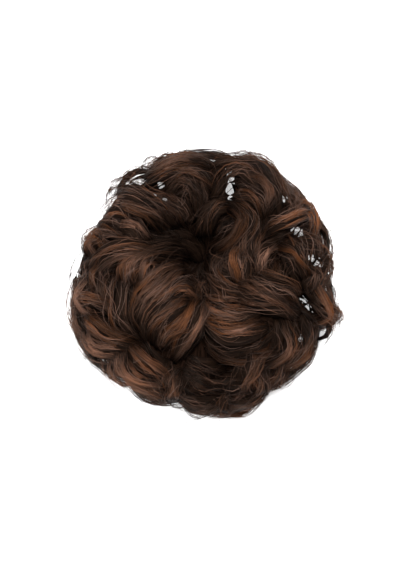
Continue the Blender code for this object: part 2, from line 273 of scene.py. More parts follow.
# The gaps. Near the rim the hair is so thin that the surface below shows between the wefts. Each gap
# is a place where the hair has parted, with a few wild hairs left across it.
GAP_COLUMNS = ("bearing", "reach", "radius")
GAPS = (
    (76.5, 0.85, 0.020),
    (75, 0.80, 0.024),
    (74, 0.745, 0.028),
    (73, 0.70, 0.026),
    (71, 0.645, 0.014),
    (46, 0.85, 0.020),
    (29.5, 0.775, 0.026),
    (27, 0.80, 0.028),
    (13, 0.81, 0.016),
    (10.5, 0.835, 0.022),
    (8, 0.865, 0.018),
    (351.6, 0.735, 0.015),
    (350.0, 0.758, 0.018),
    (348.6, 0.780, 0.019),
    (347.2, 0.803, 0.018),
    (346.0, 0.823, 0.014),
    (348, 0.89, 0.011),
    (331.4, 0.815, 0.012),
    (330.0, 0.830, 0.014),
    (328.6, 0.845, 0.014),
    (327.2, 0.862, 0.012),
    (121, 0.865, 0.022),
    (123, 0.895, 0.014),
    (127, 0.905, 0.012),
    (113, 0.775, 0.024),
    (118, 0.745, 0.014),
    (119.5, 0.72, 0.014),
    (113.5, 0.66, 0.012),
    (136, 0.865, 0.014),
    (147, 0.90, 0.014),
    (176, 0.90, 0.020),
    (172.5, 0.915, 0.020),
)
GAP_LEAN = 1.2
GAP_MARGIN = 0.0009


def gap_middle(gap, height):
    """The middle of a gap at a height. The gaps lean together, as if towards one eye high above."""
    closer = 1 - (height - WIDEST_HEIGHT) / GAP_LEAN
    return at_bearing(gap["bearing"], gap["reach"] * SPREAD * closer, height)


def gap_cutter(sides=12):
    """Upright rods where the weft is so thin that one can see through it."""
    bm = bmesh.new()
    for gap in named_rows(GAP_COLUMNS, GAPS):
        radius = gap["radius"] * SPREAD + GAP_MARGIN
        rod = bmesh.ops.create_cone(
            bm, cap_ends=True, segments=sides, radius1=radius, radius2=radius, depth=2 * CROWN_HEIGHT
        )
        for vertex in rod["verts"]:
            vertex.co += gap_middle(gap, vertex.co.z)
    return show("gap_cutter", finished_mesh("gap_cutter", bm))


cutter = gap_cutter()
cut = backing.modifiers.new("gaps", "BOOLEAN")
cut.operation = "DIFFERENCE"
cut.object = cutter
cut.use_self = True
graph = bpy.context.evaluated_depsgraph_get()
backing_mesh = bpy.data.meshes.new_from_object(backing.evaluated_get(graph))
bpy.data.objects.remove(cutter, do_unlink=True)
backing.modifiers.clear()
backing.data = backing_mesh
backing.data.shade_smooth()
backing.data.materials.append(weft_painted_shade_material())
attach(backing, "root")

# The locks. Long wavy locks of dark brown hair with auburn strands among it, rooted in the backing
# and curled with heat. They cross and loop over each other, and both ends of each dive under the rest.
LOCK_WIDTH = 0.0150
LOCK_THICKNESS = 0.0060
LOCK_LIFT = 0.0036
END_SINK = 0.0045
STATION_SPACING = 0.0046
PIT_LEAN = 1.45
# Painted shade: how much the hair's colour is darkened in the dents and towards the ends of each lock.
PAINTED_DENT_SHADE = 2.2
PAINTED_END_SHADE = 0.25

# Each lock runs through four places, and its ends dive in at the first and the last of them
LOCK_COLUMNS = (
    "bearing_1",
    "reach_1",
    "bearing_2",
    "reach_2",
    "bearing_3",
    "reach_3",
    "bearing_4",
    "reach_4",
    "width",
    "lift",
    "tone",
)
# Low tones on the locks of the lower middle are painted shade that darkens the hollow there.
LOCKS = {
    # Upper right, round the swirl
    "locks_upper_right": (
        (73, 0.63, 54, 0.57, 48, 0.42, 70, 0.17, 1.00, 1.2, 0.60),
        (90, 0.30, 86, 0.44, 80, 0.54, 68, 0.59, 1.20, 1.2, 0.60),
        (64, 0.57, 68, 0.49, 74, 0.42, 82, 0.35, 0.90, -0.6, 0.25),
        (83, 0.62, 76, 0.77, 68, 0.81, 55, 0.77, 0.70, 0.9, 0.70),
        (72, 0.69, 62, 0.71, 53, 0.69, 44, 0.64, 0.95, 0.4, 0.45),
        (86, 0.90, 76, 0.92, 66, 0.96, 57, 0.965, 0.80, -0.3, 0.30),
        (62, 0.96, 53, 0.94, 46, 0.88, 40, 0.85, 0.80, -0.4, 0.35),
        (80, 0.84, 66, 0.91, 54, 0.87, 40, 0.77, 1.20, 0.6, 0.55),
        (72, 0.83, 61, 0.85, 52, 0.79, 46, 0.66, 1.00, 0.2, 0.50),
        (48, 0.88, 42, 0.86, 37, 0.82, 33, 0.74, 0.90, 0.0, 0.35),
        (41, 0.86, 36, 0.915, 29, 0.905, 22, 0.85, 0.95, 0.2, 0.95),
        (32, 0.93, 33, 0.81, 36, 0.65, 39, 0.54, 0.50, 1.3, 0.80),
        (25, 0.82, 21, 0.86, 17, 0.87, 13, 0.89, 0.90, -0.4, 0.25),
        (26, 0.73, 22, 0.81, 16, 0.86, 9, 0.86, 0.90, 0.1, 0.50),
        (28, 0.66, 20, 0.70, 12, 0.71, 0, 0.78, 0.90, 0.7, 0.60),
        (28, 0.66, 29, 0.53, 22, 0.45, 5, 0.43, 0.80, 1.0, 0.75),
        (54, 0.64, 46, 0.54, 35, 0.42, 12, 0.38, 1.00, 0.7, 0.55),
        (44, 0.40, 32, 0.33, 16, 0.29, 350, 0.28, 1.30, 0.4, 0.50),
        (18, 0.60, 11, 0.56, 5, 0.55, 356, 0.60, 0.90, -0.3, 0.30),
        (13, 0.93, 9, 0.93, 4, 0.885, 0, 0.85, 0.80, -0.3, 0.25),
        (9, 0.80, 4, 0.83, 359, 0.82, 354, 0.83, 0.80, 0.2, 0.40),
    ),
    # Lower right, the long arcs
    "locks_lower_right": (
        (6, 0.30, 358, 0.45, 353, 0.58, 346, 0.75, 1.15, 0.9, 0.45),
        (348, 0.20, 344, 0.38, 343, 0.57, 341, 0.78, 1.15, 0.9, 0.40),
        (280, 0.13, 298, 0.21, 315, 0.29, 334, 0.38, 0.95, 0.5, 0.70),
        (284, 0.20, 298, 0.29, 314, 0.37, 334, 0.46, 0.90, 0.7, 0.75),
        (274, 0.24, 290, 0.41, 308, 0.49, 328, 0.58, 1.10, 1.1, 0.88),
        (278, 0.38, 290, 0.51, 308, 0.59, 330, 0.66, 0.95, 0.1, 0.48),
        (338, 0.66, 328, 0.73, 318, 0.77, 306, 0.77, 0.80, 0.9, 0.85),
        (342, 0.78, 333, 0.83, 323, 0.835, 312, 0.83, 0.80, 0.4, 0.85),
        (2, 0.81, 353, 0.88, 345, 0.93, 338, 0.89, 0.85, 0.3, 0.85),
        (356, 0.88, 350, 0.965, 345, 0.975, 339, 0.90, 0.70, -0.2, 0.50),
        (310, 0.62, 301, 0.69, 294, 0.77, 294, 0.90, 1.00, 0.7, 0.60),
        (304, 0.74, 302, 0.82, 298, 0.88, 295, 0.93, 0.90, 0.2, 0.40),
        (318, 0.81, 311, 0.86, 305, 0.88, 300, 0.90, 0.90, -0.2, 0.20),
        (303, 0.92, 295, 0.93, 288, 0.92, 278, 0.89, 0.85, -0.1, 0.50),
        (262, 0.70, 272, 0.73, 283, 0.75, 292, 0.80, 0.95, 0.1, 0.12),
        (322, 0.72, 314, 0.69, 306, 0.66, 298, 0.64, 0.85, -0.3, 0.15),
        (283, 0.84, 281, 0.88, 280, 0.92, 278, 0.94, 0.80, 0.3, 0.22),
        (336, 0.865, 328, 0.885, 319, 0.885, 310, 0.865, 0.50, -0.2, 0.45),
        (279, 0.78, 285, 0.81, 292, 0.835, 299, 0.845, 0.90, -0.5, 0.15),
        (353, 0.84, 350, 0.93, 346, 0.985, 340, 1.02, 0.40, 0.5, 0.75),
        (350, 0.80, 345, 0.90, 340, 0.96, 334, 1.00, 0.40, 0.6, 0.65),
    ),
    # Lower left, the fan and the diagonal locks
    "locks_lower_left": (
        (162, 0.16, 186, 0.29, 198, 0.44, 214, 0.57, 1.15, 0.9, 0.60),
        (200, 0.15, 207, 0.30, 214, 0.46, 228, 0.60, 1.15, 1.1, 0.70),
        (240, 0.17, 230, 0.27, 227, 0.40, 233, 0.57, 1.00, 0.9, 0.50),
        (252, 0.28, 242, 0.35, 236, 0.45, 236, 0.58, 0.90, 0.5, 0.45),
        (266, 0.10, 260, 0.26, 254, 0.40, 250, 0.62, 0.85, 1.0, 0.75),
        (172, 0.55, 190, 0.58, 207, 0.62, 226, 0.63, 0.85, 0.5, 0.40),
        (174, 0.73, 185, 0.73, 194, 0.70, 204, 0.66, 0.80, 0.1, 0.30),
        (176, 0.83, 184, 0.86, 190, 0.85, 197, 0.81, 0.85, 0.4, 0.80),
        (187, 0.91, 188, 0.84, 191, 0.73, 198, 0.63, 0.75, 1.0, 0.60),
        (174, 0.86, 188, 0.93, 200, 0.94, 213, 0.87, 0.85, 0.0, 0.75),
        (199, 0.91, 204, 0.82, 213, 0.74, 228, 0.66, 1.30, 1.0, 0.70),
        (201, 0.90, 207, 0.89, 214, 0.84, 223, 0.76, 0.75, 0.7, 0.90),
        (219, 0.76, 228, 0.82, 240, 0.82, 252, 0.82, 0.90, 0.5, 0.75),
        (220, 0.73, 232, 0.70, 243, 0.72, 253, 0.81, 1.00, 0.8, 0.70),
        (217, 0.85, 224, 0.89, 230, 0.88, 237, 0.84, 0.90, -0.3, 0.35),
        (234, 0.84, 243, 0.87, 251, 0.88, 260, 0.90, 0.90, -0.2, 0.30),
        (256, 0.66, 255, 0.75, 255, 0.83, 258, 0.90, 0.80, 0.6, 0.50),
        (247, 0.62, 247, 0.70, 250, 0.77, 256, 0.83, 0.85, 0.0, 0.45),
        (261, 0.92, 267, 0.935, 273, 0.93, 280, 0.90, 0.90, -0.2, 0.30),
        (257, 0.86, 264, 0.86, 271, 0.85, 279, 0.87, 0.85, 0.1, 0.22),
        (258, 0.62, 266, 0.64, 276, 0.65, 286, 0.66, 0.85, -0.5, 0.05),
    ),
    # Upper left, the crown sweeps
    "locks_upper_left": (
        (117, 0.93, 107, 0.925, 97, 0.925, 84, 0.91, 0.80, -0.1, 0.90),
        (120, 0.90, 108, 0.87, 98, 0.87, 86, 0.89, 0.80, 0.5, 0.85),
        (122, 0.84, 112, 0.80, 101, 0.82, 87, 0.87, 0.85, 0.7, 0.50),
        (108, 0.76, 99, 0.78, 90, 0.76, 82, 0.69, 0.85, 0.5, 0.40),
        (113, 0.70, 102, 0.73, 94, 0.66, 93, 0.46, 0.90, 0.6, 0.50),
        (118, 0.67, 109, 0.61, 103, 0.53, 99, 0.42, 0.90, 0.1, 0.40),
        (141, 0.81, 132, 0.79, 124, 0.62, 120, 0.40, 1.25, 1.2, 0.55),
        (131, 0.94, 125, 0.82, 117, 0.62, 110, 0.42, 1.15, 0.7, 0.50),
        (150, 0.85, 142, 0.79, 137, 0.72, 137, 0.60, 0.95, 0.9, 0.70),
        (154, 0.85, 150, 0.80, 149, 0.73, 148, 0.62, 1.25, 0.5, 0.40),
        (148, 0.72, 144, 0.63, 145, 0.55, 148, 0.46, 1.10, 0.6, 0.80),
        (140, 0.52, 132, 0.46, 124, 0.38, 122, 0.28, 1.00, -0.3, 0.15),
        (167, 0.82, 161, 0.83, 157.5, 0.80, 161, 0.71, 0.95, 0.5, 0.80),
        (173, 0.82, 163, 0.70, 151, 0.54, 135, 0.28, 1.00, 1.3, 0.55),
        (182, 0.90, 176, 0.87, 171, 0.84, 165, 0.80, 0.60, 0.2, 0.50),
        (164, 0.68, 171, 0.76, 178, 0.77, 187, 0.75, 0.85, 0.2, 0.35),
        (155, 0.44, 163, 0.51, 172, 0.545, 184, 0.55, 0.90, 0.6, 0.50),
        (148, 0.38, 160, 0.43, 170, 0.44, 186, 0.43, 1.00, 0.8, 0.60),
        (148, 0.15, 158, 0.27, 170, 0.34, 188, 0.36, 1.00, 0.8, 0.55),
        (135, 0.87, 129, 0.93, 122, 0.95, 114, 0.93, 0.70, -0.2, 0.30),
    ),
    # Round and into the hollow in the middle
    "locks_middle": (
        (48, 0.42, 53, 0.245, 29, 0.166, 1, 0.277, 1.00, 0.2, 0.45),
        (68, 0.118, 56, 0.03, 252, 0.07, 265, 0.16, 0.70, -0.2, 0.15),
        (112, 0.196, 137, 0.356, 160, 0.459, 176, 0.46, 0.90, 0.6, 0.50),
        (134, 0.18, 164, 0.27, 183, 0.39, 197, 0.48, 0.90, 0.9, 0.60),
        (160, 0.13, 172, 0.20, 192, 0.34, 208, 0.50, 0.90, 1.0, 0.65),
        (250, 0.11, 203, 0.183, 205, 0.33, 215, 0.524, 0.90, 0.9, 0.65),
        (150, 0.50, 122, 0.34, 105, 0.23, 95, 0.12, 0.80, 0.2, 0.25),
        (30, 0.09, 340, 0.14, 320, 0.22, 322, 0.34, 0.80, 0.2, 0.35),
        (75, 0.16, 20, 0.12, 350, 0.20, 348, 0.36, 0.80, 0.3, 0.40),
    ),
}


def hair_height(place):
    """Height of the locks' middle line at a place seen from above."""
    return smooth_height(math.hypot(place.x, place.y)) - dent_depth(place)


def outward(point):
    """The direction out of the hair at a point, away from the heart of the ring, and up in the pit."""
    bearing = math.degrees(math.atan2(point.y, point.x))
    heart = min(CROWN_RADIUS, PIT_LEAN * math.hypot(point.x, point.y))
    return (point - at_bearing(bearing, heart, WIDEST_HEIGHT)).normalized()


def smooth_course(places, count):
    """Points along a smooth curve through four or more places."""
    ends = [2 * places[0] - places[1], *places, 2 * places[-1] - places[-2]]
    spans = len(places) - 1
    course = []
    for step in range(count):
        along = spans * step / (count - 1)
        span = min(int(along), spans - 1)
        t = along - span
        a, b, c, d = ends[span : span + 4]
        point = b * 2 + (c - a) * t + (2 * a - 5 * b + 4 * c - d) * t**2 + (3 * b - a - 3 * c + d) * t**3
        course.append(point / 2)
    return course


def stations_for(places, spacing=STATION_SPACING):
    """How many stations a lock through these places needs."""
    length = sum((b - a).length for a, b in zip(places, places[1:]))
    return max(8, round(length / spacing) + 1)


def top_course(lock, spacing=STATION_SPACING):
    """The course over the top of the hair of one row of LOCKS."""
    places = [at_bearing(lock["bearing_" + n], lock["reach_" + n] * SPREAD) for n in "1234"]
    course = smooth_course(places, stations_for(places, spacing))
    return [Vector((p.x, p.y, hair_height(p))) for p in course]


def fullness(t):
    """Share of its full width that a lock has at a share of its length."""
    return 0.42 + 0.58 * math.sin(math.pi * min(1.0, 0.10 + 0.86 * t)) ** 0.7


class Lock:
    """The stations of one lock: its middle line, the ways across and out, and its half sizes."""

    def __init__(self, course, width, lift, tone, sink=0.0):
        last = len(course) - 1
        self.tones_with_painted_light = []
        self.width = width
        self.points = []
        self.sides = []
        self.outs = []
        self.half_widths = []
        self.half_depths = []
        for i, point in enumerate(course):
            t = i / last
            out = outward(point)
            arch = math.sin(math.pi * t) ** 0.6 if 0 < i < last else 0.0
            tangent = (course[min(i + 1, last)] - course[max(i - 1, 0)]).normalized()
            side = tangent.cross(out).normalized()
            raised = arch * lift * LOCK_LIFT - (1 - arch) * END_SINK - sink
            self.points.append(point + out * raised)
            self.sides.append(side)
            self.outs.append(side.cross(tangent))
            self.half_widths.append(width * LOCK_WIDTH * fullness(t) / 2)
            self.half_depths.append(LOCK_THICKNESS * fullness(t) / 2)
            # Painted light: the tone is lighter where the lock arches up and darker towards its ends and
            # in the dents. This is a painted highlight on the arch and painted shade where the hair dives
            # under.
            shade = PAINTED_DENT_SHADE * dent_depth(point) / CROWN_HEIGHT + PAINTED_END_SHADE * (1 - arch)
            self.tones_with_painted_light.append(tone * (0.42 + 0.74 * arch**2) - shade)


def guides_mesh(name, locks, density):
    """A polyline for each lock, whose points carry what the strands need to know."""
    points, edges = [], []
    values = {"side": [], "out": [], "half_width": [], "half_depth": [], "tone": [], "tresses": []}
    for lock in locks:
        start = len(points)
        count = len(lock.points)
        points += [tuple(p) for p in lock.points]
        edges += [(start + i, start + i + 1) for i in range(count - 1)]
        values["side"] += [c for v in lock.sides for c in v]
        values["out"] += [c for v in lock.outs for c in v]
        values["half_width"] += lock.half_widths
        values["half_depth"] += lock.half_depths
        values["tone"] += lock.tones_with_painted_light
        values["tresses"] += [max(1, round(lock.width * density))] * count
    mesh = bpy.data.meshes.new(name)
    mesh.from_pydata(points, edges, [])
    for key, data in values.items():
        kind = {"side": "FLOAT_VECTOR", "out": "FLOAT_VECTOR", "tresses": "INT"}.get(key, "FLOAT")
        attribute = mesh.attributes.new(key, kind, "POINT")
        attribute.data.foreach_set("vector" if kind == "FLOAT_VECTOR" else "value", data)
    return mesh


MOST_CUT = 0.86
LOWEST_STRAND = 0.0004
GAP_CLEARANCE = 1.5 * GAP_MARGIN
MOST_PHASE = 90.0
LOTS = (("start", -1, 1), ("end", -1, 1), ("up", 0, 1), ("phase", 0, MOST_PHASE), ("shade", -1, 1))
WILDNESS_DRAW = 9
WILDNESS_POWER = 5.0
WILD_BOOST = 3.0


class Fields(Nodes):
    """Writes the nodes of a geometry tree whose curves are guides or strands."""

    def named(self, name, kind="FLOAT"):
        """An attribute that the guides carry."""
        node = self.add("GeometryNodeInputNamedAttribute", {"Name": name}, data_type=kind)
        return node.outputs["Attribute"]

    def combined(self, **parts):
        """A vector of an X, a Y and a Z. One that isn't given is 0."""
        return self.add("ShaderNodeCombineXYZ", parts).outputs[0]

    def place(self):
        """Where each point is."""
        return self.add("GeometryNodeInputPosition").outputs[0]

    def along(self):
        """Each point's share of the way along its curve."""
        return self.add("GeometryNodeSplineParameter").outputs["Factor"]

    def circle(self, radius, points):
        """A closed circle."""
        inputs = {"Radius": radius, "Resolution": points}
        return self.add("GeometryNodeCurvePrimitiveCircle", inputs).outputs[0]

    def tubes(self, curves, profile, **more):
        """Tubes along curves, with a profile across them."""
        inputs = {"Curve": curves, "Profile Curve": profile, **more}
        return self.add("GeometryNodeCurveToMesh", inputs).outputs[0]

    def put(self, geometry, place):
        """The same points at other places."""
        inputs = {"Geometry": geometry, "Position": place}
        return self.add("GeometryNodeSetPosition", inputs).outputs[0]

    def random(self, low, high, seed, offset):
        """A random number for each curve."""
        whole = self.math("ADD", seed, offset)
        node = self.add("FunctionNodeRandomValue", {2: low, 3: high, "Seed": whole})
        return node.outputs[1]

    def store(self, geometry, name, value, domain="CURVE"):
        """The same curves with one more number on each, or on each of their points."""
        inputs = {"Geometry": geometry, "Name": name, "Value": value}
        node = self.add("GeometryNodeStoreNamedAttribute", inputs, domain=domain)
        return node.outputs["Geometry"]

    def duplicate(self, geometry, amount):
        """So many copies of each curve."""
        inputs = {"Geometry": geometry, "Amount": amount}
        return self.add("GeometryNodeDuplicateElements", inputs, domain="SPLINE").outputs["Geometry"]

    def track(self, along, waves, phase):
        """A place in the noise for each point along a curve, a track of its own for each phase."""
        return self.combined(X=self.math("MULTIPLY", along, waves), Y=phase)

    def waver(self, place, scale, amount):
        """A smooth push from a noise, up to about half the amount each way."""
        noise = self.add("ShaderNodeTexNoise", {"Vector": place, "Scale": scale, "Detail": 1.0})
        centred = self.vector("SUBTRACT", noise.outputs["Color"], (0.5, 0.5, 0.5))
        return self.scaled(centred, self.math("MULTIPLY", amount, 2.0))

    def moved(self, geometry, offset):
        """The same curves with their points moved."""
        return self.add("GeometryNodeSetPosition", {"Geometry": geometry, "Offset": offset}).outputs[0]

    def draw(self, curves, name, seed, offset):
        """The same curves, each with its place across and up in its parent and its other lots drawn."""
        for number, (lot, low, high) in enumerate(LOTS):
            value = self.random(low, high, seed, offset + number)
            curves = self.store(curves, name + "_" + lot, value)
        wildness = self.math("POWER", self.random(0.0, 1.0, seed, offset + WILDNESS_DRAW), WILDNESS_POWER)
        return self.store(curves, name + "_wildness", wildness)

    def crossing(self, name, along, fan):
        """Where a curve runs across its parent, from its drawn start towards its drawn end."""
        start = self.named(name + "_start")
        drift = self.math("MULTIPLY", self.math("SUBTRACT", self.named(name + "_end"), start), along)
        return self.math("ADD", start, self.math("MULTIPLY", drift, fan))

    def shifted(self, across, across_size, up, up_size):
        """A shift across and out of the lock, each a share of a size."""
        over = self.scaled(self.named("side", "FLOAT_VECTOR"), self.math("MULTIPLY", across, across_size))
        out = self.scaled(self.named("out", "FLOAT_VECTOR"), self.math("MULTIPLY", up, up_size))
        return self.vector("ADD", over, out)

    def own_waver(self, name, along, waves, amount):
        """The waver of one curve by itself, stronger the wilder it is."""
        wildness = self.math("MULTIPLY_ADD", self.named(name + "_wildness"), WILD_BOOST, 1.0)
        size = self.math("MULTIPLY", amount, wildness)
        return self.waver(self.track(along, waves, self.named(name + "_phase")), 1.0, size)

    def without_gap_strands(self, strands, share):
        """The curves that stay clear of the gaps near the rim. A share of 0 keeps them all."""
        place = self.place()
        after = self.add("GeometryNodeOffsetPointInCurve", {"Offset": 1}).outputs["Point Index"]
        inputs = {"Index": after, "Value": place}
        beyond = self.add("GeometryNodeFieldAtIndex", inputs, data_type="FLOAT_VECTOR", domain="POINT")
        halfway = self.scaled(self.vector("ADD", place, beyond.outputs["Value"]), 0.5)
        inside = self.math("MAXIMUM", self.in_gap(place), self.in_gap(halfway))
        group = self.add("GeometryNodeCurveOfPoint").outputs["Curve Index"]
        cut = self.math("MULTIPLY", self.math("LESS_THAN", self.named("strand_wildness"), MOST_CUT), share)
        inputs = {"Value": self.math("MULTIPLY", inside, cut), "Group ID": group}
        total = self.add("GeometryNodeAccumulateField", inputs, domain="POINT").outputs["Total"]
        inputs = {"Geometry": strands, "Selection": self.math("GREATER_THAN", total, 0.5)}
        return self.add("GeometryNodeDeleteGeometry", inputs, domain="CURVE").outputs["Geometry"]

    def in_gap(self, place):
        """1 where a place lies in one of the gaps near the rim, or close beside it, and 0 elsewhere."""
        height = self.add("ShaderNodeSeparateXYZ", {0: place}).outputs["Z"]
        closer = self.math("MULTIPLY_ADD", height, -1 / GAP_LEAN, 1 + WIDEST_HEIGHT / GAP_LEAN)
        flat = self.vector("MULTIPLY", place, (1.0, 1.0, 0.0))
        inside = 0.0
        for gap in named_rows(GAP_COLUMNS, GAPS):
            middle = at_bearing(gap["bearing"], gap["reach"] * SPREAD)
            away = self.vector("SUBTRACT", flat, self.scaled(middle, closer))
            near = self.add("ShaderNodeVectorMath", {0: away}, operation="LENGTH").outputs["Value"]
            hit = self.math("LESS_THAN", near, gap["radius"] * SPREAD + GAP_CLEARANCE)
            inside = self.math("MAXIMUM", inside, hit)
        return inside

    def off_floor(self):
        """Each point's place, kept just above the surface that the hairpiece lies on."""
        place = self.place()
        return self.vector("MAXIMUM", place, (-1.0, -1.0, LOWEST_STRAND))


def new_tree(name, sizes):
    """A geometry tree with an input for each of its sizes and one for its material."""
    tree = bpy.data.node_groups.new(name, "GeometryNodeTree")
    add_socket = tree.interface.new_socket
    add_socket("Geometry", in_out="INPUT", socket_type="NodeSocketGeometry")
    for size_name, value in sizes.items():
        kind = "NodeSocketInt" if isinstance(value, int) else "NodeSocketFloat"
        add_socket(size_name, in_out="INPUT", socket_type=kind).default_value = value
    add_socket("Material", in_out="INPUT", socket_type="NodeSocketMaterial")
    add_socket("Geometry", in_out="OUTPUT", socket_type="NodeSocketGeometry")
    fields = Fields(tree)
    return tree, fields, fields.add("NodeGroupInput").outputs


def finish_tree(f, geometry, material):
    """The last nodes of a tree: smooth, real and with its material."""
    smooth = f.add("GeometryNodeSetShadeSmooth", {"Geometry": geometry}).outputs[0]
    real = f.add("GeometryNodeRealizeInstances", {"Geometry": smooth}).outputs[0]
    inputs = {"Geometry": real, "Material": material}
    f.add("NodeGroupOutput", {"Geometry": f.add("GeometryNodeSetMaterial", inputs).outputs[0]})


COMB_SIZES = {
    "Wave": 0.0026,
    "Fan": 0.8,
    "Rise": 0.0,
    "Tress Waver": 0.0020,
    "Wisps": 5,
    "Wisp Spread": 0.0019,
    "Wisp Waver": 0.0009,
    "Strands": 5,
    "Strand Spread": 0.0009,
    "Strand Waver": 0.0004,
    "Strand Radius": 0.00012,
    "Parting": 1.0,
    "Seed": 1,
}
TRESS_DRAWS = 10
WISP_DRAWS = 30
STRAND_DRAWS = 50
TRIM_DRAWS = 70
TRESS_ARCH = 1.15
SWAY_SCALE = 50.0
TRESS_WAVES = 1.5
WISP_WAVES = 1.9
STRAND_WAVES = 2.2
WISP_FAN = 0.6
STRAND_FAN = 0.4
WISP_RISE = 1.2
WISP_SLIMMING = 0.5
WISP_SLIM_POWER = 3.0
ROOT_TRIM = 0.14
TIP_TRIM = 0.76
TIP_THINNING = 0.7
TIP_POWER = 5.0
ROOT_THINNING = 0.4
ROOT_POWER = 8.0
THINNEST = 0.6
THICKEST = 1.4
STRAND_SIDES = 3


def comb_tree():
    """Nodes that comb each lock into tresses, those into wisps and strands, and make strands tubes."""
    tree, f, given = new_tree("comb", COMB_SIZES)
    seed = given["Seed"]

    # Tresses, spread over the section of the lock. They drift across it, and sway with their neighbours
    guides = f.add("GeometryNodeMeshToCurve", {"Mesh": given["Geometry"]}).outputs["Curve"]
    tresses = f.draw(f.duplicate(guides, f.named("tresses", "INT")), "tress", seed, TRESS_DRAWS)
    along = f.along()
    across = f.crossing("tress", along, given["Fan"])
    # Painted shade: the edge attribute darkens strands towards the sides of each lock, for the shade
    # between locks.
    tresses = f.store(tresses, "edge", f.math("MULTIPLY", across, across), "POINT")
    height = f.math("SQRT", f.named("tress_up"))
    height = f.math("MULTIPLY", height, f.math("COSINE", f.math("MULTIPLY", across, TRESS_ARCH)))
    place = f.shifted(across, f.named("half_width"), height, f.named("half_depth"))
    out = f.named("out", "FLOAT_VECTOR")
    place = f.vector("ADD", place, f.scaled(out, given["Rise"]))
    there = f.vector("ADD", f.place(), place)
    # Painted light: the crest attribute lightens tresses that the sway lifts out of the lock and darkens
    # those it sinks.
    sway = f.waver(there, SWAY_SCALE, given["Wave"])
    rise = f.add("ShaderNodeVectorMath", {0: sway, 1: out}, operation="DOT_PRODUCT").outputs["Value"]
    tresses = f.store(tresses, "painted_crest_light", f.math("DIVIDE", rise, given["Wave"]), "POINT")
    own = f.own_waver("tress", along, TRESS_WAVES, given["Tress Waver"])
    tresses = f.moved(tresses, f.vector("ADD", f.vector("ADD", sway, place), own))

    # Wisps, which lie together in their tress and cross each other at a low angle
    wisps = f.draw(f.duplicate(tresses, given["Wisps"]), "wisp", seed, WISP_DRAWS)
    along = f.along()
    slim = f.math("MULTIPLY_ADD", f.math("POWER", along, WISP_SLIM_POWER), -WISP_SLIMMING, 1.0)
    reach = f.math("MULTIPLY", given["Wisp Spread"], slim)
    height = f.math("MULTIPLY_ADD", f.named("wisp_up"), WISP_RISE, -WISP_RISE / 2)
    place = f.shifted(f.crossing("wisp", along, WISP_FAN), reach, height, reach)
    own = f.own_waver("wisp", along, WISP_WAVES, given["Wisp Waver"])
    wisps = f.moved(wisps, f.vector("ADD", place, own))

    # Strands, side by side in their wisp. A few stray out of it
    strands = f.draw(f.duplicate(wisps, given["Strands"]), "strand", seed, STRAND_DRAWS)
    start = f.random(0.0, ROOT_TRIM, seed, TRIM_DRAWS)
    end = f.random(TIP_TRIM, 1.0, seed, TRIM_DRAWS + 1)
    strands = f.add("GeometryNodeTrimCurve", {"Curve": strands, 2: start, 3: end}).outputs["Curve"]
    along = f.along()
    height = f.math("MULTIPLY_ADD", f.named("strand_up"), 2.0, -1.0)
    across = f.crossing("strand", along, STRAND_FAN)
    place = f.shifted(across, given["Strand Spread"], height, given["Strand Spread"])
    own = f.own_waver("strand", along, STRAND_WAVES, given["Strand Waver"])
    strands = f.moved(strands, f.vector("ADD", place, own))
    strands = f.without_gap_strands(strands, given["Parting"])
    strands = f.put(strands, f.off_floor())

    # Tubes of three sides that thin out to both ends
    tip = f.math("MULTIPLY", f.math("POWER", along, TIP_POWER), TIP_THINNING)
    root = f.math("POWER", f.math("SUBTRACT", 1.0, along), ROOT_POWER)
    root = f.math("MULTIPLY", root, ROOT_THINNING)
    taper = f.math("SUBTRACT", f.math("SUBTRACT", 1.0, tip), root)
    girth = f.math("MULTIPLY", f.random(THINNEST, THICKEST, seed, TRIM_DRAWS + 2), given["Strand Radius"])
    girth = f.math("MULTIPLY", girth, taper)
    tubes = f.tubes(strands, f.circle(1.0, STRAND_SIDES), **{"Scale": girth, "Fill Caps": True})
    finish_tree(f, tubes, given["Material"])
    return tree


# Shares of the hair's colour. The lock's tone carries painted highlight and shade, the edge is painted
# shade between locks, and the crest is painted light on the waves. The rest are random shades of each
# tress, wisp and strand.
SHADE_SHARES = {
    "tone": 0.93,
    "edge": -0.20,
    "painted_crest_light": 0.22,
    "tress_shade": 0.11,
    "wisp_shade": 0.19,
    "strand_shade": 0.25,
}
DARKEST_HAIR = (0.0036, 0.0020, 0.0014, 1)
MIDDLE_HAIR = (0.0385, 0.0196, 0.0127, 1)
LIGHTEST_HAIR = (0.134, 0.0635, 0.0395, 1)
SHINE_TINT = (1.0, 0.78, 0.66, 1)


def hair_material(name, least_warmth, most_warmth):
    """Dark brown hair, whose strands run from near black to auburn, with a satin shine."""
    material, f, shader = new_material(name, 0.38, 0.07)
    shader.inputs["Specular Tint"].default_value = SHINE_TINT
    total = 0.0
    for attribute, share in SHADE_SHARES.items():
        value = f.add("ShaderNodeAttribute", attribute_name=attribute).outputs["Fac"]
        total = f.math("MULTIPLY_ADD", value, share, total)
    ramp = f.add("ShaderNodeValToRGB", {"Fac": total})
    ramp.color_ramp.elements[0].color = DARKEST_HAIR
    ramp.color_ramp.elements[1].color = LIGHTEST_HAIR
    ramp.color_ramp.elements.new(0.5).color = MIDDLE_HAIR
    phase = f.add("ShaderNodeAttribute", attribute_name="tress_phase").outputs["Fac"]
    inputs = {"Value": phase, "From Max": MOST_PHASE, "To Min": least_warmth, "To Max": most_warmth}
    warmth = f.add("ShaderNodeMapRange", inputs).outputs["Result"]
    tint = f.add("ShaderNodeHueSaturation", {"Saturation": warmth, "Color": ramp.outputs["Color"]})
    f.tree.links.new(tint.outputs["Color"], shader.inputs["Base Color"])
    return material


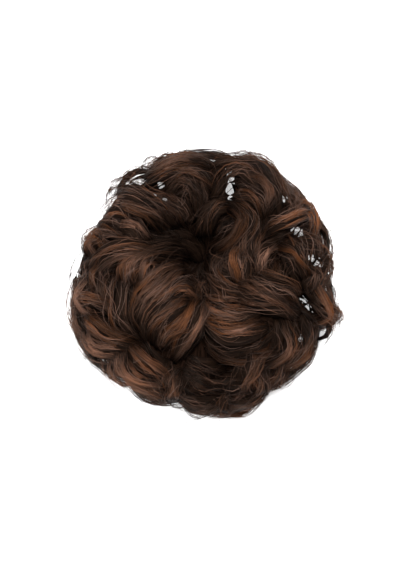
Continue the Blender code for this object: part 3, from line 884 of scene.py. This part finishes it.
def grown(name, tree, base, **sizes):
    """A plain mesh of what a tree makes of a base mesh with these sizes."""
    holder = show(name + "_holder", base)
    modifier = holder.modifiers.new(name, "NODES")
    modifier.node_group = tree
    for socket in tree.interface.items_tree:
        if socket.in_out == "INPUT" and socket.name in sizes:
            modifier[socket.identifier] = sizes[socket.name]
    graph = bpy.context.evaluated_depsgraph_get()
    mesh = bpy.data.meshes.new_from_object(holder.evaluated_get(graph))
    bpy.data.objects.remove(holder, do_unlink=True)
    return mesh


hair = hair_material("hair", 0.90, 1.24)
comb = comb_tree()


def combed(name, locks, density, material=hair, **sizes):
    """A plain mesh of the strands of some locks."""
    guides = guides_mesh(name + "_guides", locks, density)
    piece = show(name, grown(name, comb, guides, Material=material, **sizes))
    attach(piece, "root")
    return piece


TRESSES = 4
every_lock = []
for number, (name, rows) in enumerate(LOCKS.items()):
    top_locks = []
    for lock in named_rows(LOCK_COLUMNS, rows):
        top_locks.append(Lock(top_course(lock), lock["width"], lock["lift"], lock["tone"]))
    combed(name, top_locks, TRESSES, Seed=1 + number)
    every_lock += top_locks

# The undercoat. Under the locks lies a thinner layer of the same hair at its darkest tone, painted shade
# under the locks, which is combed the same way and closes what would show of the backing between them.
UNDERCOAT_SIZES = {"Wisps": 4, "Strands": 3, "Strand Radius": 0.00016, "Seed": 15}
UNDERCOAT_TRESSES = 2
UNDERCOAT_WIDTH = 1.6
UNDERCOAT_SINK = 0.0040
top_rows = named_rows(LOCK_COLUMNS, sum(LOCKS.values(), ()))
undercoat = []
for lock in top_rows:
    undercoat.append(Lock(top_course(lock), UNDERCOAT_WIDTH, 0.0, 0.0, UNDERCOAT_SINK))
combed("undercoat", undercoat, UNDERCOAT_TRESSES, **UNDERCOAT_SIZES)

# The flyaway hairs. Single hairs that have worked loose from the locks. They stand a little off the
# hair, cross it at all angles, and reach past the rim.
FLYAWAY_SIZES = {
    "Wave": 0.0040,
    "Rise": 0.0010,
    "Tress Waver": 0.0036,
    "Wisps": 2,
    "Wisp Waver": 0.0038,
    "Strands": 1,
    "Strand Waver": 0.0015,
    "Strand Radius": 0.00009,
    "Parting": 0.0,
    "Seed": 8,
}
FLYAWAY_TRESSES = 6
FLYAWAY_WIDTH = 1.3
FLYAWAY_TONE = 0.64
FLYAWAY_SPACING = 0.0025
flyaways = []
for lock in top_rows:
    flyaways.append(Lock(top_course(lock, FLYAWAY_SPACING), FLYAWAY_WIDTH, lock["lift"], FLYAWAY_TONE))
# Painted sheen: the loose hairs are paler and greyer than the locks, which stands in for the shine they
# catch.
loose_hair_painted_sheen = hair_material("loose_hair_painted_sheen", 0.72, 1.02)
combed("flyaway_hairs", flyaways, FLYAWAY_TRESSES, loose_hair_painted_sheen, **FLYAWAY_SIZES)

# The side and the underside. Shorter locks hang over the edge to the surface that the hairpiece
# lies on, and others fan out flat beneath it, from the seam round the elastic to the rim.
RIM_REACH = (0.91, 0.93, 0.965, 1.00, 0.895, 0.895, 0.965, 0.83, 0.855,
             0.92, 1.00, 0.88, 0.875, 0.895, 0.90, 0.95, 0.85, 0.975)
RIM_BULGE = 0.034
SWEEP_RANGE = 0.3
RISE_RANGE = 0.12
RING_TONE = 0.42
TONE_RANGE = 0.25
START_BEAT = 2.4
SWEEP_BEAT = 3.9
RISE_BEAT = 5.1
TONE_BEAT = 7.3
BULGE_BEAT = 8.7
RING_COLUMNS = ("count", "sweep", "stagger", "width", "lift")
RINGS = {
    "side": (26, 33, 3, 0.95, 1.0),
    "crossing": (9, -56, 9, 0.90, 1.9),
    "inner": (18, 24, 5, 1.20, 0.3),
    "under": (24, -34, 4, 0.95, 0.2),
}
COURSE_COLUMNS = ("share", "reach", "height")
COURSES = {
    "side": ((0.0, 0.76, 0.09), (0.3, 0.90, 0.17), (0.65, 0.93, 0.45), (1.0, 0.84, 0.72)),
    "crossing": ((0.0, 0.86, 0.12), (0.4, 0.91, 0.30), (0.7, 0.91, 0.50), (1.0, 0.86, 0.72)),
    "inner": ((0.0, 0.80, 0.12), (0.35, 0.87, 0.22), (0.7, 0.87, 0.46), (1.0, 0.80, 0.68)),
    "under": ((0.0, 0.40, 0.08), (0.4, 0.60, 0.07), (0.7, 0.78, 0.08), (1.0, 0.90, 0.18)),
}


def rim_reach(bearing):
    """Share of the spread that the rim of the hair reaches at a bearing."""
    step = 360 / len(RIM_REACH)
    place = (bearing % 360) / step
    before = int(place) % len(RIM_REACH)
    after = (before + 1) % len(RIM_REACH)
    share = (1 - math.cos(math.pi * (place - int(place)))) / 2
    return RIM_REACH[before] * (1 - share) + RIM_REACH[after] * share


def ring_course(name, number):
    """The course of one lock of a ring, whose starts and sweeps waver so that no two are alike."""
    ring = dict(zip(RING_COLUMNS, RINGS[name]))
    start = 360 * number / ring["count"] + ring["stagger"] * math.sin(START_BEAT * number)
    sweep = ring["sweep"] * (1 + SWEEP_RANGE * math.cos(SWEEP_BEAT * number))
    rise = 1 + RISE_RANGE * math.sin(RISE_BEAT * number)
    bulge = 1 + RIM_BULGE * math.sin(BULGE_BEAT * number)
    places = []
    for at in named_rows(COURSE_COLUMNS, COURSES[name]):
        bearing = start + sweep * at["share"]
        reach = at["reach"] * rim_reach(bearing) * (bulge if 0 < at["share"] < 1 else 1)
        places.append(at_bearing(bearing, reach * SPREAD, at["height"] * rise * CROWN_HEIGHT))
    return smooth_course(places, stations_for(places))


ring_locks = {}
for name, row in RINGS.items():
    ring = dict(zip(RING_COLUMNS, row))
    ring_locks[name] = []
    for number in range(ring["count"]):
        tone = RING_TONE + TONE_RANGE * math.sin(TONE_BEAT * number)
        lock = Lock(ring_course(name, number), ring["width"], ring["lift"], tone)
        ring_locks[name].append(lock)
side = combed("locks_side", ring_locks["side"], TRESSES, Seed=6)
combed("locks_side_crossing", ring_locks["crossing"], TRESSES, Seed=10)
combed("locks_side_inner", ring_locks["inner"], TRESSES, Seed=13, Wisps=4, Strands=3)
combed("locks_under", ring_locks["under"], TRESSES, Seed=7, Wisps=4, Strands=4)

# The curled ends. Round the rim the cut ends of the locks spring out of the side in short curls that
# lie mostly along the rim and bend back to the hair.
CURLS = 76
CURL_LENGTH = 0.018
CURL_STAND = 0.0022
CURL_TURN = 0.6
CURL_BEND = 0.6
CURL_STATIONS = 9
CURL_TRESSES = 8
CURL_WIDTH = 0.22
CURL_SHIFT = 4
CURL_REACH = 0.94
CURL_HEIGHTS = (0.25, 0.66)
CURL_TONES = (0.3, 0.7)
CURL_COLUMNS = ("along", "stand")
CURL_PLACES = ((0.0, -1.0), (0.35, 0.7), (0.7, 1.0), (1.0, -0.2))
CURL_SIZES = {
    "Wave": 0.0010,
    "Tress Waver": 0.0012,
    "Wisps": 2,
    "Wisp Waver": 0.0010,
    "Strands": 4,
    "Strand Radius": 0.00010,
    "Parting": 0.0,
    "Seed": 11,
}
draws = random.Random(12)


def curl_course(bearing, reach, height):
    """A short curl that springs out of the hair at a place and bends back to it."""
    root = at_bearing(bearing, reach * SPREAD, height)
    out = outward(root)
    around = out.cross(Vector((0, 0, 1))).normalized()
    rise = around.cross(out)
    turn = draws.choice((0, math.pi)) + draws.uniform(-CURL_TURN, CURL_TURN)
    run = around * math.cos(turn) + rise * math.sin(turn)
    bend = run.cross(out) * draws.uniform(-CURL_BEND, CURL_BEND)
    places = []
    for at in named_rows(CURL_COLUMNS, CURL_PLACES):
        sway = bend * at["along"] ** 2
        places.append(root + (run * at["along"] + sway) * CURL_LENGTH + out * (at["stand"] * CURL_STAND))
    return smooth_course(places, CURL_STATIONS)


curls = []
for number in range(CURLS):
    bearing = 360 * number / CURLS + draws.uniform(-CURL_SHIFT, CURL_SHIFT)
    reach = CURL_REACH * rim_reach(bearing)
    height = draws.uniform(*CURL_HEIGHTS) * CROWN_HEIGHT
    curls.append(Lock(curl_course(bearing, reach, height), CURL_WIDTH, 0.0, draws.uniform(*CURL_TONES)))
combed("curled_ends", curls, CURL_TRESSES, **CURL_SIZES)

# The cores. Under its outer strands each lock is dark hair packed side by side, too dense to see into, and
# coloured near black as painted shade. Each core is a flattened tube that runs from end to end of its lock
# and keeps off the gaps.
CORE_SIDES = 10
CORE_LEAST = 0.0002
CORE_SHARE = 0.62
GRAIN_ROUND = 9.0
GRAIN_ALONG = 1 / 0.009
GRAIN_SHIFT = 37.0


def room_beside_gaps(point):
    """How far it is sideways from a point to the edge of the nearest see-through gap."""
    room = SPREAD
    for gap in named_rows(GAP_COLUMNS, GAPS):
        away = point - gap_middle(gap, point.z)
        room = min(room, away.length - gap["radius"] * SPREAD)
    return max(room, CORE_LEAST)


def core_mesh(name, locks):
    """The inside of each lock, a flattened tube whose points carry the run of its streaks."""
    bm = bmesh.new()
    grain = bm.verts.layers.float_vector.new("grain")
    for number, lock in enumerate(locks):
        rings = []
        run = GRAIN_SHIFT * number
        for i, point in enumerate(lock.points):
            if i:
                run += (point - lock.points[i - 1]).length * GRAIN_ALONG
            room = room_beside_gaps(point)
            half_width = min(room, lock.half_widths[i] * CORE_SHARE)
            half_depth = min(room, lock.half_depths[i] * CORE_SHARE)
            ring = []
            for k in range(CORE_SIDES):
                turn = at_bearing(360 * k / CORE_SIDES, 1.0)
                across = lock.sides[i] * (half_width * turn.x)
                up = lock.outs[i] * (half_depth * turn.y)
                place = point + across + up
                place.z = max(place.z, LOWEST_STRAND)
                vertex = bm.verts.new(place)
                vertex[grain] = turn * GRAIN_ROUND + Vector((0, 0, run))
                ring.append(vertex)
            rings.append(ring)
        for ring, after in zip(rings, rings[1:]):
            for k in range(CORE_SIDES):
                m = (k + 1) % CORE_SIDES
                bm.faces.new((ring[k], after[k], after[m], ring[m]))
        bm.faces.new(rings[0])
        bm.faces.new(reversed(rings[-1]))
    bmesh.ops.recalc_face_normals(bm, faces=bm.faces)
    mesh = finished_mesh(name, bm)
    mesh.shade_smooth()
    return mesh


def core_painted_shade_material():
    """The inside of a lock: dark hair packed side by side, with streaks that run along the lock, coloured
    near black as painted shade.
    """
    material, f, shader = new_material("packed_hair_painted_shade", 0.6, 0.02)
    grain = f.add("ShaderNodeAttribute", attribute_name="grain").outputs["Vector"]
    dark = (0.35, (0.0015, 0.0008, 0.0005))
    light = (0.75, (0.0130, 0.0066, 0.0040))
    streaked(f, shader, {"Vector": grain, "Scale": 1.0, "Detail": 4}, dark, light, 0.0008)
    return material


every_lock += undercoat + sum(ring_locks.values(), [])
cores = show("lock_cores", core_mesh("lock_cores", every_lock))
cores.data.materials.append(core_painted_shade_material())
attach(cores, "root")
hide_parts("hair_locks")

# The seams of the weft. The roots of the hair are sewn on tape, in rings round the elastic and in the
# roof of the hollow, with a slanted overlock stitch in black thread. They show from below only.
SEAM_COLUMNS = ("radius", "height")
SEAMS = (
    (0.0335, BACKING_BASE),
    (0.0395, BACKING_BASE),
    (0.0455, BACKING_BASE),
    (0.0105, HOLLOW_HEIGHT),
    (0.0050, HOLLOW_HEIGHT),
)
SEAM_POINTS = 120
TUBE_SIDES = 6
STITCH_SINK = 0.95
SEAM_SIZES = {
    "Radius": 0.04,
    "Height": 0.004,
    "Tape Radius": 0.00075,
    "Stitch Length": 0.0026,
    "Stitch Radius": 0.00022,
    "Slant": 0.75,
    "Stitch Spacing": 0.0020,
}


def seam_tree():
    """Nodes that lay a ring of tape and sew slanted stitches over it."""
    tree, f, given = new_tree("seam", SEAM_SIZES)
    lift = f.combined(Z=given["Height"])
    ring = f.moved(f.circle(given["Radius"], SEAM_POINTS), lift)
    tape = f.tubes(ring, f.circle(given["Tape Radius"], TUBE_SIDES))
    size = {"Vertices": TUBE_SIDES, "Radius": given["Stitch Radius"], "Depth": given["Stitch Length"]}
    stitch = f.add("GeometryNodeMeshCylinder", size).outputs[0]
    spacing = {"Curve": ring, "Length": given["Stitch Spacing"]}
    points = f.add("GeometryNodeCurveToPoints", spacing, mode="LENGTH")
    tangent = {"Vector": points.outputs["Tangent"]}
    upright = f.add("FunctionNodeAlignRotationToVector", tangent, axis="Z").outputs[0]
    slant = f.combined(X=given["Slant"])
    turned = {0: upright, 1: slant}
    leaning = f.add("FunctionNodeRotateRotation", turned, rotation_space="LOCAL").outputs[0]
    drop = f.combined(Z=f.math("MULTIPLY", given["Tape Radius"], -STITCH_SINK))
    seats = f.moved(points.outputs["Points"], drop)
    sewn = {"Points": seats, "Instance": stitch, "Rotation": leaning}
    stitches = f.add("GeometryNodeInstanceOnPoints", sewn).outputs[0]
    both = f.add("GeometryNodeJoinGeometry")
    f.tree.links.new(tape, both.inputs[0])
    f.tree.links.new(stitches, both.inputs[0])
    finish_tree(f, both.outputs[0], given["Material"])
    return tree


def thread_material(name, dark, light, grain):
    """Matt thread or yarn, with fine fibres that catch the light."""
    material, f, shader = new_material(name, 0.85, 0.15)
    noise = {"Vector": f.add("ShaderNodeTexCoord").outputs["Object"], "Scale": grain, "Detail": 3}
    streaked(f, shader, noise, (0.3, dark), (0.7, light), 0.0002)
    return material


black_thread = thread_material("black_thread", (0.004, 0.0035, 0.0035), (0.022, 0.019, 0.018), 2600)
sewing = seam_tree()
for number, seam in enumerate(named_rows(SEAM_COLUMNS, SEAMS)):
    sizes = {"Radius": seam["radius"], "Height": seam["height"], "Material": black_thread}
    loop = grown("weft_seam", sewing, bpy.data.meshes.new("seam"), **sizes)
    ring = show("weft_seam_" + str(number + 1), loop)
    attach(ring, "root")

# The elastic. A flat braid of five yarns of covered rubber, joined into a loop and sewn into the seat
# under the backing. It goes round the root of the wearer's own knot.
BRAID_POINTS = 450
OVERS_IN_A_SWING = 4.0
BRAID_SIZES = {
    "Radius": 0.0255,
    "Height": 0.0013,
    "Half Width": 0.0024,
    "Half Rise": 0.0006,
    "Yarn Radius": 0.00055,
    "Repeats": 18,
    "Yarns": 5,
}


def braid_tree():
    """Nodes that plait yarns into a flat ring. Each weaves over and under the other four."""
    tree, f, given = new_tree("braid", BRAID_SIZES)
    rings = f.duplicate(f.circle(given["Radius"], BRAID_POINTS), given["Yarns"])
    yarn = f.add("GeometryNodeCurveOfPoint").outputs["Curve Index"]
    start = f.math("DIVIDE", f.math("MULTIPLY", yarn, math.tau), given["Yarns"])
    turn = f.math("MULTIPLY", f.along(), math.tau)
    phase = f.math("MULTIPLY_ADD", turn, given["Repeats"], start)
    over = f.math("SINE", f.math("MULTIPLY", phase, OVERS_IN_A_SWING))
    over = f.math("MULTIPLY", over, given["Half Rise"])
    radius = f.math("MULTIPLY_ADD", f.math("SINE", phase), given["Half Width"], given["Radius"])
    x = f.math("MULTIPLY", f.math("COSINE", turn), radius)
    y = f.math("MULTIPLY", f.math("SINE", turn), radius)
    yarns = f.put(rings, f.combined(X=x, Y=y, Z=f.math("ADD", over, given["Height"])))
    tubes = f.tubes(yarns, f.circle(given["Yarn Radius"], TUBE_SIDES))
    finish_tree(f, tubes, given["Material"])
    return tree


yarn = thread_material("elastic_yarn", (0.006, 0.0055, 0.0055), (0.030, 0.028, 0.028), 1900)
sizes = {"Radius": (BAND_INNER + BAND_OUTER) / 2, "Height": band_high.z / 2, "Material": yarn}
loop = grown("braid", braid_tree(), bpy.data.meshes.new("braid"), **sizes)
braid = show("braided_elastic", loop)
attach(braid, "root")
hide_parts("elastic_band")

# The floor, the light and the camera. A white table whose edge sweeps up far away, under broad soft
# light from above and the far side, seen from straight above, as in the photo.
FRAME_WIDTH_PX = 400
OBJECT_WIDTH_PX = 274
OBJECT_CENTRE_PX = (202, 283)
FRAME_CENTRE_PX = (200, 285)
METRES_PER_PX = 2 * SPREAD / OBJECT_WIDTH_PX
LENS = 200.0
SENSOR = 36.0
FLOOR_STEPS = 96
TABLE_WHITE = (0.86, 0.86, 0.86, 1)
TABLE_GLOW = 0.5
WORLD_LIGHT = 0.25
WHITE = (1, 1, 1, 1)
SWEEP_COLUMNS = ("radius", "height")
SWEEP = ((0.5, 0.0), (2.4, 0.0), (2.7, 0.04), (2.9, 0.15), (3.0, 0.35), (3.05, 0.7), (3.05, 1.5))
EYE_HEIGHT = LENS / SENSOR * FRAME_WIDTH_PX * METRES_PER_PX + WIDEST_HEIGHT


def floor_piece():
    """A wide white table top, whose edge sweeps up into a low white wall all round."""
    bm = bmesh.new()
    middle = bm.verts.new((0, 0, 0))
    rings = []
    for at in named_rows(SWEEP_COLUMNS, SWEEP):
        rings.append(turned_ring(bm, at["radius"], at["height"], FLOOR_STEPS))
    for k in range(FLOOR_STEPS):
        m = (k + 1) % FLOOR_STEPS
        bm.faces.new((middle, rings[0][k], rings[0][m]))
        for ring, after in zip(rings, rings[1:]):
            bm.faces.new((ring[k], after[k], after[m], ring[m]))
    mesh = finished_mesh("floor", bm)
    mesh.shade_smooth()
    floor = show("floor", mesh)
    material, f, shader = new_material("white_table", 0.6, 0.5)
    shader.inputs["Base Color"].default_value = TABLE_WHITE
    shader.inputs["Emission Color"].default_value = WHITE
    shader.inputs["Emission Strength"].default_value = TABLE_GLOW
    mesh.materials.append(material)
    return floor


def area_light(name, place, size, watts, aim=(0, 0, 0.02)):
    """Adds a square soft light that faces the hairpiece."""
    data = bpy.data.lights.new(name, "AREA")
    data.size = size
    data.energy = watts
    light = show(name, data)
    light.location = place
    light.rotation_euler = (Vector(aim) - Vector(place)).to_track_quat("-Z", "Y").to_euler()


floor_piece()
area_light("key_light", (0.12, 0.40, 1.40), size=0.5, watts=52)
area_light("fill_light", (-0.8, -0.2, 0.9), size=0.9, watts=12)
world = bpy.data.worlds.new("studio")
world.use_nodes = True
world.node_tree.nodes["Background"].inputs["Color"].default_value = WHITE
world.node_tree.nodes["Background"].inputs["Strength"].default_value = WORLD_LIGHT
scene = bpy.context.scene
scene.world = world
scene.view_settings.view_transform = "Standard"
camera_data = bpy.data.cameras.new("camera")
camera_data.sensor_fit = "HORIZONTAL"
camera_data.sensor_width = SENSOR
camera_data.lens = LENS
camera = show("camera", camera_data)
camera.location = (
    (FRAME_CENTRE_PX[0] - OBJECT_CENTRE_PX[0]) * METRES_PER_PX,
    (OBJECT_CENTRE_PX[1] - FRAME_CENTRE_PX[1]) * METRES_PER_PX,
    EYE_HEIGHT,
)
scene.camera = camera
